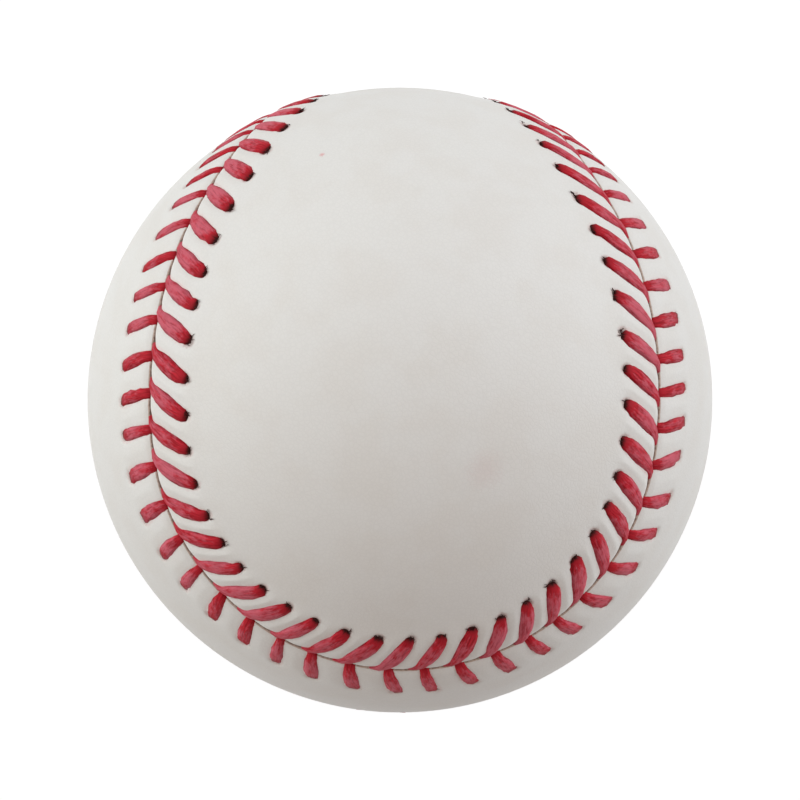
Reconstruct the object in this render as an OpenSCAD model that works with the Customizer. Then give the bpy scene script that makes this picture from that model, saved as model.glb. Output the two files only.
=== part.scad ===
// Hand-sewn leather baseball. The origin is the centre of the ball.
// +Z runs out through a lobe of the first cover panel, and +Y through that panel's waist.
// Places on the seam are given as [along, across, height] in mm: along the seam on the smooth
// leather, across it towards the first panel, and out from the smooth leather.

/* [Cover] */
// Diameter of the ball over the smooth leather
ball_d = 74.35; // [73.5:0.05:75]
// Thickness of the cover leather
leather_t = 1.2; // [1:0.05:1.4]
// Width of a panel at its waist, along the surface
waist_w = 26.6; // [25:0.1:28]
// Width of a panel's round lobe, along the surface
lobe_w = 59.6; // [58.6:0.1:60.4]

/* [Seam] */
// Gap between the two leather edges
seam_gap = 0.6; // [0.56:0.02:0.8]
// Height of the raised leather along the seam
seam_rise = 0.25; // [0.15:0.05:0.35]
// Distance from the seam to where the leather starts to rise
rise_reach = 6.7; // [6.5:0.1:8]
// Room under the leather for the thread
thread_room = 0.45; // [0.42:0.01:0.5]
// Distance from the seam to the end of that room
room_reach = 6.3; // [6.2:0.1:6.5]

/* [Stitches] */
// Pairs of stitches round the seam, an even number
stitches = 108; // [100:2:112]
// Distance from the seam to the holes
hole_inset = 5.5; // [5:0.1:5.6]
// Diameter of a stitch hole
hole_d = 1.3; // [1.2:0.05:1.5]
// Distance that the second panel's holes trail behind the first panel's
hole_trail = 1.45; // [1.3:0.05:1.6]
// Distance from the seam's lowest point to the first panel's first hole
first_hole = 1.1; // [0:0.1:3]
// Distance that a stitch on the first panel runs back to the seam
sweep_first = 3.8; // [3.8:0.05:3.9]
// Distance that a stitch on the second panel runs back to the seam
sweep_second = 1; // [0.8:0.05:1]
// Width of the thread where it lies on the leather
leg_w = 1.4; // [1:0.1:1.8]
// Width of the thread in its holes and under the leather
thread_w = 1; // [0.8:0.05:1.1]
// Thickness of the thread
thread_t = 0.4; // [0.3:0.02:0.4]
// Clearance between the thread and the leather
thread_clear = 0.03; // [0.01:0.01:0.05]

/* [Centre] */
// Diameter of the cork and rubber core
core_d = 20.6; // [19:0.1:22]
// Wall of the black rubber shells
black_wall = 4; // [3.5:0.1:4.5]
// Thickness of the red washer between the two black shells
washer_t = 0.8; // [0.5:0.1:1.5]
// Wall of the red rubber jacket
red_wall = 3.15; // [2.5:0.05:3.5]

/* [Windings] */
// Thickness of the white wool winding
white_wool_t = 1.76; // [1.5:0.02:2]
// Thickness of the second grey wool winding
second_grey_t = 2.28; // [2:0.02:2.6]
// Thickness of the white cotton winding
cotton_t = 0.5; // [0.4:0.02:0.7]
// Thickness of the latex adhesive coat
adhesive_t = 0.1; // [0.08:0.01:0.15]

/* [Hidden] */
$fn = 96;

// How far cuts run past what they cut
overrun = 1;

// Radii of the layers, from the leather inwards
ball_r = ball_d / 2;
adhesive_r = ball_r - leather_t;
cotton_r = adhesive_r - adhesive_t;
second_grey_r = cotton_r - cotton_t;
white_wool_r = second_grey_r - second_grey_t;
first_grey_r = white_wool_r - white_wool_t;
core_r = core_d / 2;
black_r = core_r + black_wall;
red_r = black_r + red_wall;

// Angles at the ball's centre that the panel's sizes take up
function surface_angle(length) = length / ball_r * 180 / PI;
lobe_angle = surface_angle(lobe_w / 2);
waist_angle = surface_angle(waist_w / 2);

// Centres of the first panel's upper lobe and of the second panel's right lobe
lobe_tilt = 90 - waist_angle - lobe_angle;
lobe_centre = [0, -sin(lobe_tilt), cos(lobe_tilt)];

// The turn that takes one quarter of the seam to the next
function quarter_turn(v) = [v.z, -v.y, -v.x];

// A vector turned about an axis
function turned(v, axis, angle) =
    v * cos(angle) + cross(axis, v) * sin(angle) + axis * (axis * v) * (1 - cos(angle));

// A place on the seam has a direction out of the ball, one forward and one inward. It walks
// along a circle of the given angle that curves inward.
function walked(place, circle_angle, turn) =
    let (axis = place[0] * cos(circle_angle) + place[2] * sin(circle_angle))
    [for (v = place) turned(v, axis, turn)];

// The lobe's middle, where the seam crosses the plane X = 0
lobe_low = lobe_tilt + lobe_angle;
lobe_middle = [
    [0, -sin(lobe_low), cos(lobe_low)],
    [1, 0, 0],
    [0, cos(lobe_low), sin(lobe_low)]
];

// A straight link leaves the lobe's circle for the quarter's end, halfway between two lobes
quarter_end = [1, 0, 1] / sqrt(2);
across_end = [-1, 0, 1] / sqrt(2);
link_lift = atan2(-lobe_centre.y, lobe_centre * across_end);
link_reach = norm([lobe_centre.y, lobe_centre * across_end]);
link_slope = link_lift - acos(sin(lobe_angle) / link_reach);
link_inward = across_end * cos(link_slope) - [0, 1, 0] * sin(link_slope);
link_start = (lobe_centre - link_inward * sin(lobe_angle)) / cos(lobe_angle);
link_angle = acos(link_start * quarter_end);
lobe_outward = (link_start - lobe_centre * cos(lobe_angle)) / sin(lobe_angle);
lobe_turn = acos(lobe_outward * [0, -cos(lobe_tilt), -sin(lobe_tilt)]);

// Lengths of the seam's pieces, along the smooth leather
lobe_length = ball_r * sin(lobe_angle) * lobe_turn * PI / 180;
link_length = ball_r * link_angle * PI / 180;
half_quarter = lobe_length + link_length;
quarter_length = 2 * half_quarter;
pitch = 4 * quarter_length / stitches;

// A place on the first quarter, from its middle
function quarter_place(along) =
    let (
        on_lobe = min(abs(along), lobe_length),
        on_link = abs(along) - on_lobe,
        lobe_place = walked(lobe_middle, lobe_angle, sign(along) * lobe_turn * on_lobe / lobe_length)
    )
    walked(lobe_place, 90, sign(along) * on_link / ball_r * 180 / PI);

// A direction turned on to a later quarter
function on_quarter(v, quarter) = quarter == 0 ? v : on_quarter(quarter_turn(v), quarter - 1);

// Directions at a place on the whole seam: out of the ball, forward, and towards the first panel
function seam_place(along) =
    let (
        quarter = floor((along + half_quarter) / quarter_length),
        place = quarter_place(along - quarter * quarter_length),
        turns = quarter - 4 * floor(quarter / 4),
        side = turns % 2 == 0 ? 1 : -1
    )
    [on_quarter(place[0], turns), on_quarter(place[1], turns), on_quarter(place[2], turns) * side];

// Out direction of a point across from the seam
function seam_direction(place, across) =
    place[0] * cos(surface_angle(across)) + place[2] * sin(surface_angle(across));

// Cutting shapes start at a small radius inside the leather and end at a large one outside it
cut_start_r = ball_r / 2;
cut_end_r = ball_r * 2;
// How far a link's faces bite into the lobes' cones, so that they cross them cleanly
bite = 0.06;
// Share of the way to the lobes at which the middle of the panel ends
middle_share = 0.95;
// Share of its length by which a link's cut runs on past the lobe
run_on_share = 0.2;

// Turns the ball's +Z to a direction
module towards(v) {
    rotate([0, acos(v.z), atan2(v.y, v.x)]) children();
}

// A solid cone about a direction, its edge drawn in from the lobe's circle
module lobe_cone(centre, inset) {
    angle = lobe_angle - surface_angle(inset);
    start = cut_start_r * cos(angle);
    end = cut_end_r * cos(angle);
    towards(centre)
        translate([0, 0, start])
            cylinder(r1 = start * tan(angle), r2 = end * tan(angle), h = end - start);
}

// A direction on the link, drawn in towards the first panel
function drawn_in(v, inset) = v * cos(surface_angle(inset)) + link_inward * sin(surface_angle(inset));

// A direction mirrored from the ball's upper half to its lower one
function flipped(v) = [v.x, v.y, -v.z];

// The second panel's right lobe as a cone, and the wedge between the two links that leave it
module right_lobe(inset) {
    link_finish = quarter_end * (link_start * quarter_end) * 2 - link_start;
    near = drawn_in(link_finish, inset - bite);
    far = drawn_in(link_start, inset + bite);
    beyond = far + (far - near) * run_on_share;
    corners = [near, beyond, flipped(beyond), flipped(near)];
    lobe_cone([cos(lobe_tilt), sin(lobe_tilt), 0], -inset);
    polyhedron(
        points = concat(corners * cut_start_r, corners * cut_end_r),
        faces = [
            [0, 1, 2], [0, 2, 3], [6, 5, 4], [7, 6, 4],
            [4, 5, 1], [4, 1, 0], [5, 6, 2], [5, 2, 1],
            [6, 7, 3], [6, 3, 2], [7, 4, 0], [7, 0, 3]
        ]
    );
}

// A solid behind the first panel, its edge drawn in from the seam by the given distance
module panel_region(inset) {
    middle_end = ball_r * link_start.y * middle_share;
    difference() {
        union() {
            translate([-cut_end_r, middle_end, -cut_end_r])
                cube(2 * cut_end_r);
            lobe_cone(lobe_centre, inset);
            mirror([0, 0, 1]) lobe_cone(lobe_centre, inset);
        }
        right_lobe(inset);
        mirror([1, 0, 0]) right_lobe(inset);
    }
}

// A closed round layer between two radii
module layer(outer_r, inner_r) {
    difference() {
        sphere(outer_r);
        sphere(inner_r);
    }
}

// Stitch holes of a panel, given where its first one lies and how far across
module stitch_holes(first, across) {
    for (i = [0:stitches - 1])
        towards(seam_direction(seam_place(first + i * pitch), across))
            translate([0, 0, adhesive_r])
                cylinder(d = hole_d, h = leather_t + overrun);
}

// The leather along the seam, raised over the thread
module panel_rim() {
    difference() {
        intersection() {
            layer(ball_r + seam_rise, adhesive_r + thread_room);
            panel_region(seam_gap / 2);
        }
        panel_region(rise_reach);
    }
}

// The rest of the panel, glued flat to the winding
module panel_field() {
    intersection() {
        layer(ball_r, adhesive_r);
        panel_region(room_reach);
    }
}

module leather_panel_first() {
    color("gainsboro")
        union() {
            panel_field();
            difference() {
                panel_rim();
                stitch_holes(first_hole, hole_inset);
            }
        }
}

module leather_panel_second() {
    color("whitesmoke")
        union() {
            mirror([0, 1, 0]) rotate([0, 90, 0]) panel_field();
            difference() {
                mirror([0, 1, 0]) rotate([0, 90, 0]) panel_rim();
                stitch_holes(first_hole - hole_trail, -hole_inset);
            }
        }
}

// Heights of the thread's middle on top of the leather and below it
leg_height = seam_rise + thread_clear + thread_t / 2;
under_height = thread_room / 2 - leather_t;
// Shares of a stitch's run back and of its way across at the middle of its leg
leg_back_share = 0.3;
leg_across_share = 0.45;

// The route of one stitch as [along, across, height, width]: up out of the hole, over to the
// seam, down between the leather edges and under the other panel
function stitch_route(number, side) =
    let (
        hole = first_hole + number * pitch - (side > 0 ? 0 : hole_trail),
        sweep = side > 0 ? sweep_first : sweep_second,
        next = first_hole + (number + 1) * pitch - (side > 0 ? hole_trail : 0),
        inset = side * hole_inset
    )
    [
        [hole, inset, under_height, thread_w],
        [hole, inset, leg_height, thread_w],
        [hole - sweep * leg_back_share, inset * leg_across_share, leg_height, leg_w],
        [hole - sweep, 0, leg_height, thread_w],
        [hole - sweep, 0, under_height, thread_w],
        [(hole - sweep + next) / 2, -inset / 2, under_height, thread_w]
    ];

// One strand takes the first panel's even holes and the second panel's odd ones, or the others
function strand_route(start_side) = [
    for (i = [0:stitches - 1])
        for (point = stitch_route(i, i % 2 == 0 ? start_side : -start_side)) point
];

// The four corners of the thread's section at one point of its route
function strand_ring(before, point, after) =
    let (
        arriving = [point[1] - before[1], point[2] - before[2]],
        leaving = [after[1] - point[1], after[2] - point[2]],
        run_in = arriving / norm(arriving),
        run_out = leaving / norm(leaving),
        run = (run_in + run_out) / norm(run_in + run_out),
        mitre = thread_t / 2 / (run * run_in),
        place = seam_place(point[0]),
        half_w = point[3] / 2
    )
    [
        for (corner = [[1, 1], [-1, 1], [-1, -1], [1, -1]])
            let (
                across = point[1] - run.y * mitre * corner[1],
                height = point[2] + run.x * mitre * corner[1]
            )
            (ball_r + height) * seam_direction(place, across) + place[1] * half_w * corner[0]
    ];

module strand(start_side) {
    route = strand_route(start_side);
    count = len(route);
    rings = [
        for (i = [0:count - 1])
            each strand_ring(route[(i + count - 1) % count], route[i], route[(i + 1) % count])
    ];
    faces = [
        for (i = [0:count - 1])
            for (j = [0:3])
                let (
                    near = 4 * i + j,
                    near_next = 4 * i + (j + 1) % 4,
                    far = 4 * ((i + 1) % count) + j,
                    far_next = 4 * ((i + 1) % count) + (j + 1) % 4
                )
                each [[near, far, far_next], [near, far_next, near_next]]
    ];
    polyhedron(points = rings, faces = faces);
}

module stitch_thread_first() {
    color("crimson") strand(1);
}

module stitch_thread_second() {
    color("firebrick") strand(-1);
}

module latex_adhesive_coat() {
    color("oldlace") layer(adhesive_r, cotton_r);
}

module white_cotton_winding() {
    color("white") layer(cotton_r, second_grey_r);
}

module second_grey_wool_winding() {
    color("gray") layer(second_grey_r, white_wool_r);
}

module white_wool_winding() {
    color("ivory") layer(white_wool_r, first_grey_r);
}

module first_grey_wool_winding() {
    color("dimgray") layer(first_grey_r, red_r);
}

module red_rubber_jacket() {
    color("indianred") layer(red_r, black_r);
}

// Half of the black rubber shell, above the washer
module black_half() {
    difference() {
        layer(black_r, core_r);
        translate([-black_r, -black_r, washer_t / 2 - 2 * black_r])
            cube(2 * black_r);
    }
}

module black_rubber_shell_upper() {
    color("darkslategray") black_half();
}

module black_rubber_shell_lower() {
    color("black") mirror([0, 0, 1]) black_half();
}

module red_rubber_washer() {
    color("tomato")
        intersection() {
            layer(black_r, core_r);
            cube([2 * black_r + overrun, 2 * black_r + overrun, washer_t], center = true);
        }
}

module cork_core() {
    color("burlywood") sphere(core_r);
}

cork_core();
black_rubber_shell_upper();
black_rubber_shell_lower();
red_rubber_washer();
red_rubber_jacket();
first_grey_wool_winding();
white_wool_winding();
second_grey_wool_winding();
white_cotton_winding();
latex_adhesive_coat();
leather_panel_first();
leather_panel_second();
stitch_thread_first();
stitch_thread_second();
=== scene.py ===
"""Looks of a hand-sewn leather baseball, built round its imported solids.

The ball's centre is the origin, +Z runs out through a lobe of the first cover panel and +Y
through that panel's waist. Sizes are in millimetres until they reach a mesh, a node tree or
Blender's own settings, which take metres.
"""

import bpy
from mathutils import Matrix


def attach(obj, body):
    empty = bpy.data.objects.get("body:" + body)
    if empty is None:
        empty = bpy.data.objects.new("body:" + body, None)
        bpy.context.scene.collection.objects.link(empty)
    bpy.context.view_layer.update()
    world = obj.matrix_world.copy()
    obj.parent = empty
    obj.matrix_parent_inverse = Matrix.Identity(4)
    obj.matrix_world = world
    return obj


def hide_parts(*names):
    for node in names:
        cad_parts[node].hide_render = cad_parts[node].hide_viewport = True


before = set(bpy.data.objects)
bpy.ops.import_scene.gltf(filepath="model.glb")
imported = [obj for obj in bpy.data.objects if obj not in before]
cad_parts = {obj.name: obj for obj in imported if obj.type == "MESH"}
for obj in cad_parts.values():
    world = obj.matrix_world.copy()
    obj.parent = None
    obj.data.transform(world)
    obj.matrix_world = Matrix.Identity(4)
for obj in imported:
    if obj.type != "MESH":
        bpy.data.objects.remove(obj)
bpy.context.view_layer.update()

import logging
import math
from dataclasses import dataclass, field
from enum import Enum
from functools import cached_property

import bmesh
import bpy
import numpy as np
from mathutils import Matrix
from mathutils.geometry import delaunay_2d_cdt

MM = 0.001
Socket = bpy.types.NodeSocket
Colour = tuple[float, float, float, float]
WHITE: Colour = (1.0, 1.0, 1.0, 1.0)
log = logging.getLogger("baseball")

# Kinds of node that are used more than once
MATH, VECTOR = "ShaderNodeMath", "ShaderNodeVectorMath"
JOIN_XYZ, SPLIT_XYZ = "ShaderNodeCombineXYZ", "ShaderNodeSeparateXYZ"
NOISE, CELLS, RANGE = "ShaderNodeTexNoise", "ShaderNodeTexVoronoi", "ShaderNodeMapRange"
MIX, ATTRIBUTE, MAPPING = "ShaderNodeMix", "ShaderNodeAttribute", "ShaderNodeMapping"
PLACE, MOVE = "GeometryNodeInputPosition", "GeometryNodeSetPosition"
STORE, READ = "GeometryNodeStoreNamedAttribute", "GeometryNodeInputNamedAttribute"
JOIN, REALIZE = "GeometryNodeJoinGeometry", "GeometryNodeRealizeInstances"
TUBE, BALL = "GeometryNodeMeshCylinder", "GeometryNodeMeshIcoSphere"
SET_OUT, CHANCE = "GeometryNodeInstanceOnPoints", "FunctionNodeRandomValue"

# Attributes with a point's distance in millimetres from a hole, the leather's edge and a leg
DISTANCES = ("hole_mm", "edge_mm", "thread_mm")
# Attributes with the lie of the fibres, how deep a leg dives, which also sets its soil and painted
# shade, its own tone and where it is fresh, without bloom or painted sheen
THREAD_MARKS = ("fibre", "dive", "tone", "fresh")


class Panel(Enum):
    """The two leather panels, with the side of the seam that each lies on."""

    FIRST = 1
    SECOND = -1

    @property
    def title(self) -> str:
        """The panel's word in the names of a tree's inputs."""
        return self.name.title()


def linear(colour: str) -> Colour:
    """Turns an sRGB hex colour to linear values.

    Args:
        colour: six hex digits after a hash sign.

    Returns:
        Red, green, blue and an alpha of 1.
    """
    parts = [int(colour[i : i + 2], 16) / 255 for i in (1, 3, 5)]
    return (*(p / 12.92 if p <= 0.04045 else ((p + 0.055) / 1.055) ** 2.4 for p in parts), 1.0)


def ease(low: float, high: float, value: np.ndarray) -> np.ndarray:
    """Smooth step from 0 at low to 1 at high.

    Args:
        low: value at which the step starts.
        high: value at which it ends, which may be the lower of the two.
        value: where to read it.

    Returns:
        Shares from 0 to 1.
    """
    share = np.clip((value - low) / (high - low), 0, 1)
    return share * share * (3 - 2 * share)


class Graph:
    """A node tree under construction."""

    def __init__(self, tree: bpy.types.NodeTree) -> None:
        """Starts from an empty tree."""
        self.tree = tree
        self.given: dict[str, Socket] = {}
        tree.nodes.clear()

    def add(
        self, kind: str, inputs: dict | None = None, output: int = 0, **settings: object
    ) -> Socket:
        """Adds a node with its settings, values and links.

        Args:
            kind: the node's type.
            inputs: values, or outputs to link, by the input's place, identifier or name.
            output: place of the output that is handed back.
            **settings: the node's own properties.

        Returns:
            The chosen output, or None from a node that has no outputs.
        """
        node = self.tree.nodes.new(kind)
        for name, value in settings.items():
            setattr(node, name, value)
        for key, value in (inputs or {}).items():
            found = [s for i, s in enumerate(node.inputs) if key in (i, s.identifier)]
            socket = (found or [node.inputs[key]])[0]
            for one in value if isinstance(value, list) else [value]:
                if isinstance(one, Socket):
                    self.tree.links.new(one, socket)
                else:
                    socket.default_value = one
        return node.outputs[output] if len(node.outputs) else None

    def steps(self, kind: str, rows: list[tuple], **known: Socket | float) -> dict[str, Socket]:
        """Adds nodes of one kind one after another, each of which may read those before it.

        Args:
            kind: the nodes' type.
            rows: for each node the name of its output, its operation and its inputs. An input
                is a value, an output, or the name of an output or value that is known by then.
            **known: outputs and values that the rows may name, besides the tree's own inputs.

        Returns:
            All that is known at the end, by name.
        """
        made = self.given | known
        for name, operation, *terms in rows:
            inputs = {i: made[t] if isinstance(t, str) else t for i, t in enumerate(terms)}
            made[name] = self.add(kind, inputs, operation=operation)
        return made


class ShapeTree(Graph):
    """A Geometry Nodes tree with named inputs."""

    # Kind of socket that takes a value of each type
    kinds = (
        (int, "NodeSocketInt"),
        (float, "NodeSocketFloat"),
        (bpy.types.Object, "NodeSocketObject"),
        (bpy.types.Material, "NodeSocketMaterial"),
    )

    def __init__(self, name: str, values: dict[str, object]) -> None:
        """Makes the tree.

        Args:
            name: name of the tree.
            values: value of each named input, the sizes in millimetres.
        """
        super().__init__(bpy.data.node_groups.new(name, "GeometryNodeTree"))
        face = self.tree.interface
        face.new_socket(name="Geometry", in_out="INPUT", socket_type="NodeSocketGeometry")
        self.values = {k: v * MM if isinstance(v, float) else v for k, v in values.items()}
        self.sockets = {}
        for label, value in values.items():
            kind = next(kind for base, kind in self.kinds if isinstance(value, base))
            socket = face.new_socket(name=label, in_out="INPUT", socket_type=kind)
            self.sockets[label] = socket.identifier
        face.new_socket(name="Geometry", in_out="OUTPUT", socket_type="NodeSocketGeometry")
        start = self.tree.nodes.new("NodeGroupInput")
        self.given = {label: start.outputs[label] for label in ("Geometry", *values)}

    def finish(self, geometry: Socket) -> None:
        """Realizes the instances, sets the material and ends the tree.

        Args:
            geometry: what the tree has made.
        """
        made = self.add(REALIZE, {"Geometry": geometry})
        made = self.add("GeometryNodeSetShadeSmooth", {"Geometry": made})
        dressed = {"Geometry": made, "Material": self.given["Material"]}
        self.add("NodeGroupOutput", {0: self.add("GeometryNodeSetMaterial", dressed)})

    def grown(
        self,
        name: str,
        base: bpy.types.Mesh | None = None,
        keep: tuple[str, ...] = (),
        changed: dict[str, int] | None = None,
    ) -> bpy.types.Object:
        """Runs the tree on a mesh and keeps the result as a plain mesh.

        Args:
            name: name of the finished piece.
            base: the mesh that the tree starts from, if it isn't an empty one.
            keep: names of the attributes that the material reads.
            changed: values of inputs that differ from the tree's own, by label.

        Returns:
            The finished piece, at the origin.
        """
        host = bpy.data.objects.new(name + "_host", base or bpy.data.meshes.new("empty"))
        bpy.context.scene.collection.objects.link(host)
        modifier = host.modifiers.new("shape", "NODES")
        modifier.node_group = self.tree
        for label, value in (self.values | (changed or {})).items():
            modifier[self.sockets[label]] = value
        host.update_tag()
        graph = bpy.context.evaluated_depsgraph_get()
        mesh = bpy.data.meshes.new_from_object(
            host.evaluated_get(graph), preserve_all_data_layers=True, depsgraph=graph
        )
        host.modifiers.remove(modifier)
        bpy.data.objects.remove(host)
        keep += ("material_index", "sharp_face")
        for attribute in list(mesh.attributes):
            if not (attribute.name in keep or attribute.is_required or attribute.is_internal):
                mesh.attributes.remove(attribute)
        shaped = bmesh.new()
        shaped.from_mesh(mesh)
        bmesh.ops.recalc_face_normals(shaped, faces=shaped.faces)
        shaped.to_mesh(mesh)
        shaped.free()
        mesh.name = name
        piece = bpy.data.objects.new(name, mesh)
        bpy.context.scene.collection.objects.link(piece)
        return piece


class Skin(Graph):
    """The node tree of a material, with its patterns set out in millimetres on the object."""

    def __init__(self, name: str) -> None:
        """Starts a material of that name."""
        self.material = bpy.data.materials.new(name)
        self.material.use_nodes = True
        super().__init__(self.material.node_tree)

    @cached_property
    def place(self) -> Socket:
        """The place on the object in millimetres."""
        spot = self.add("ShaderNodeTexCoord", output=3)
        return self.add(VECTOR, {0: spot, "Scale": 1 / MM}, operation="SCALE")

    def layered(self, ground: str, layers: list[tuple], **settings: object) -> Socket:
        """Lays tints over a ground colour.

        Args:
            ground: the ground colour.
            layers: for each tint the output that it follows, the values at which it starts and
                at which it is full, its greatest share and its colour.
            **settings: how each share grows between the two values.

        Returns:
            The colour.
        """
        colour = linear(ground)
        for value, start, full, most, tint in layers:
            span = {"Value": value, "From Min": start, "From Max": full, "To Max": most}
            share = self.add(RANGE, span, **settings)
            blend = {"Factor_Float": share, "A_Color": colour, "B_Color": linear(tint)}
            colour = self.add(MIX, blend, output=2, data_type="RGBA")
        return colour

    def finished(
        self,
        colour: Socket,
        roughness: Socket | float,
        height: Socket,
        relief: tuple[float, float],
        more: dict[str, float] | None = None,
    ) -> bpy.types.Material:
        """Ends the material.

        Args:
            colour: its colour.
            roughness: its roughness.
            height: what its relief follows.
            relief: strength and depth of the relief.
            more: further values of the shader, by name.

        Returns:
            The material.
        """
        bump = {"Strength": relief[0], "Distance": relief[1] * MM, "Height": height}
        inputs = {
            "Base Color": colour,
            "Roughness": roughness,
            "Normal": self.add("ShaderNodeBump", bump),
        }
        shader = self.add("ShaderNodeBsdfPrincipled", inputs | (more or {}))
        self.add("ShaderNodeOutputMaterial", {"Surface": shader})
        return self.material


@dataclass(frozen=True)
class SeamPath:
    """The seam's line on the smooth ball: four lobe arcs joined by four straight links."""

    ball_d: float = 74.35
    waist_w: float = 26.6
    lobe_w: float = 59.6
    stitches: int = 108
    line_points: int = 3456
    # How the sewer's spacing wanders: size, cycles round the ball and start of each wave
    wander: tuple[tuple[float, int, float], ...] = ((0.16, 13, 0.7), (0.13, 29, 2.1))

    @property
    def ball_r(self) -> float:
        """Radius of the ball over the smooth leather."""
        return self.ball_d / 2

    @property
    def lobe(self) -> float:
        """Angle from a lobe's centre to its edge."""
        return self.lobe_w / self.ball_d

    @property
    def tilt(self) -> float:
        """Angle from +Z to the centre of the first panel's upper lobe."""
        return math.pi / 2 - self.waist_w / self.ball_d - self.lobe

    @property
    def centre(self) -> np.ndarray:
        """Direction of that lobe's centre."""
        return np.array([0, -math.sin(self.tilt), math.cos(self.tilt)])

    @cached_property
    def link_start(self) -> np.ndarray:
        """Direction at which the upper lobe's arc turns into the link on its right."""
        centre = self.centre
        across = np.array([-1, 0, 1]) / math.sqrt(2)
        lift = math.atan2(-centre[1], centre @ across)
        slope = lift - math.acos(math.sin(self.lobe) / math.hypot(centre[1], centre @ across))
        inward = across * math.cos(slope) - np.array([0, math.sin(slope), 0])
        return (centre - inward * math.sin(self.lobe)) / math.cos(self.lobe)

    @cached_property
    def lobe_turn(self) -> float:
        """Angle that half of a lobe's arc turns through about the lobe's centre."""
        outward = (self.link_start - self.centre * math.cos(self.lobe)) / math.sin(self.lobe)
        return math.acos(outward @ np.array([0, -math.cos(self.tilt), -math.sin(self.tilt)]))

    @cached_property
    def lobe_length(self) -> float:
        """Length of half of a lobe's arc."""
        return self.ball_r * math.sin(self.lobe) * self.lobe_turn

    @cached_property
    def half_quarter(self) -> float:
        """Length from the middle of a lobe's arc to the middle of a link."""
        link = math.acos((self.link_start[0] + self.link_start[2]) / math.sqrt(2))
        return self.lobe_length + self.ball_r * link

    @property
    def length(self) -> float:
        """Length of the whole seam."""
        return 8 * self.half_quarter

    @property
    def pitch(self) -> float:
        """Distance from one pair of stitches to the next."""
        return self.length / self.stitches

    def sewn(self, along: np.ndarray) -> np.ndarray:
        """Moves evenly spaced places a little along the seam, as hand sewing does."""
        share = math.tau * along
        waves = [w * np.sin(share * n / self.length + start) for w, n, start in self.wander]
        return along + sum(waves)

    @staticmethod
    def walked(place: list[np.ndarray], circle: float, turn: np.ndarray) -> list[np.ndarray]:
        """Walks places along circles that curve inward.

        Args:
            place: directions out of the ball, forward and inward, a row for each place.
            circle: angle from the circle's centre to its edge.
            turn: how far each place turns about the circle's centre.

        Returns:
            The three directions at the new places.
        """
        axis = place[0] * math.cos(circle) + place[2] * math.sin(circle)
        cosine, sine = np.cos(turn)[:, None], np.sin(turn)[:, None]
        kept = [axis * np.sum(axis * v, 1)[:, None] * (1 - cosine) for v in place]
        return [v * cosine + np.cross(axis, v) * sine + k for v, k in zip(place, kept)]

    def places(self, along: np.ndarray) -> list[np.ndarray]:
        """Directions at places on the seam.

        Args:
            along: distances along the seam from the upper lobe's lowest point.

        Returns:
            Directions out of the ball, forward, and towards the first panel, a row for each.
        """
        quarter = np.floor((along + self.half_quarter) / (2 * self.half_quarter))
        local = along - quarter * 2 * self.half_quarter
        on_lobe = np.minimum(np.abs(local), self.lobe_length)
        low = self.tilt + self.lobe
        start = (
            [0.0, -math.sin(low), math.cos(low)],
            [1.0, 0.0, 0.0],
            [0.0, math.cos(low), math.sin(low)],
        )
        place = [np.tile(v, (len(along), 1)) for v in start]
        turn = np.sign(local) * self.lobe_turn * on_lobe / self.lobe_length
        place = self.walked(place, self.lobe, turn)
        turn = np.sign(local) * (np.abs(local) - on_lobe) / self.ball_r
        place = self.walked(place, math.pi / 2, turn)
        turns = quarter.astype(int) % 4
        for count in (1, 2, 3):
            later = turns >= count
            for v in place:
                v[later] = np.stack([v[later, 2], -v[later, 1], -v[later, 0]], 1)
        place[2][turns % 2 == 1] *= -1
        return place

    def points(
        self, along: np.ndarray, across: np.ndarray | float, height: np.ndarray | float
    ) -> np.ndarray:
        """Points on or near the ball.

        Args:
            along: distance of each along the seam.
            across: its distance from the seam, towards the first panel.
            height: its height over the smooth leather.

        Returns:
            The points in millimetres, a row for each.
        """
        out, _, inward = self.places(along)
        angle = np.broadcast_to(across / self.ball_r, along.shape)[:, None]
        radius = np.broadcast_to(self.ball_r + height, along.shape)[:, None]
        return (out * np.cos(angle) + inward * np.sin(angle)) * radius

    def off(self, directions: np.ndarray) -> np.ndarray:
        """Distance of places on the ball from the seam.

        Args:
            directions: unit vectors, a row for each place.

        Returns:
            Distances, above 0 on the first panel and below 0 on the second.
        """
        out, _, inward = self.places(np.arange(0, self.length, 0.5))
        nearest = np.argmax(directions @ out.T, 1)
        side = np.sum(directions * inward[nearest], 1)
        near = np.clip(np.sum(directions * out[nearest], 1), -1, 1)
        return np.sign(side) * np.arccos(near) * self.ball_r

    @cached_property
    def line(self) -> bpy.types.Object:
        """The seam's line as a closed curve, which the node trees follow."""
        curve = bpy.data.curves.new("seam_line", "CURVE")
        curve.dimensions = "3D"
        spline = curve.splines.new("POLY")
        spline.points.add(self.line_points - 1)
        along = np.arange(self.line_points) * self.length / self.line_points
        points = np.c_[self.points(along, 0.0, 0.0) * MM, np.ones(self.line_points)]
        spline.points.foreach_set("co", points.astype(np.float32).ravel())
        spline.use_cyclic_u = True
        made = bpy.data.objects.new("seam_line", curve)
        bpy.context.scene.collection.objects.link(made)
        return made


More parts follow.
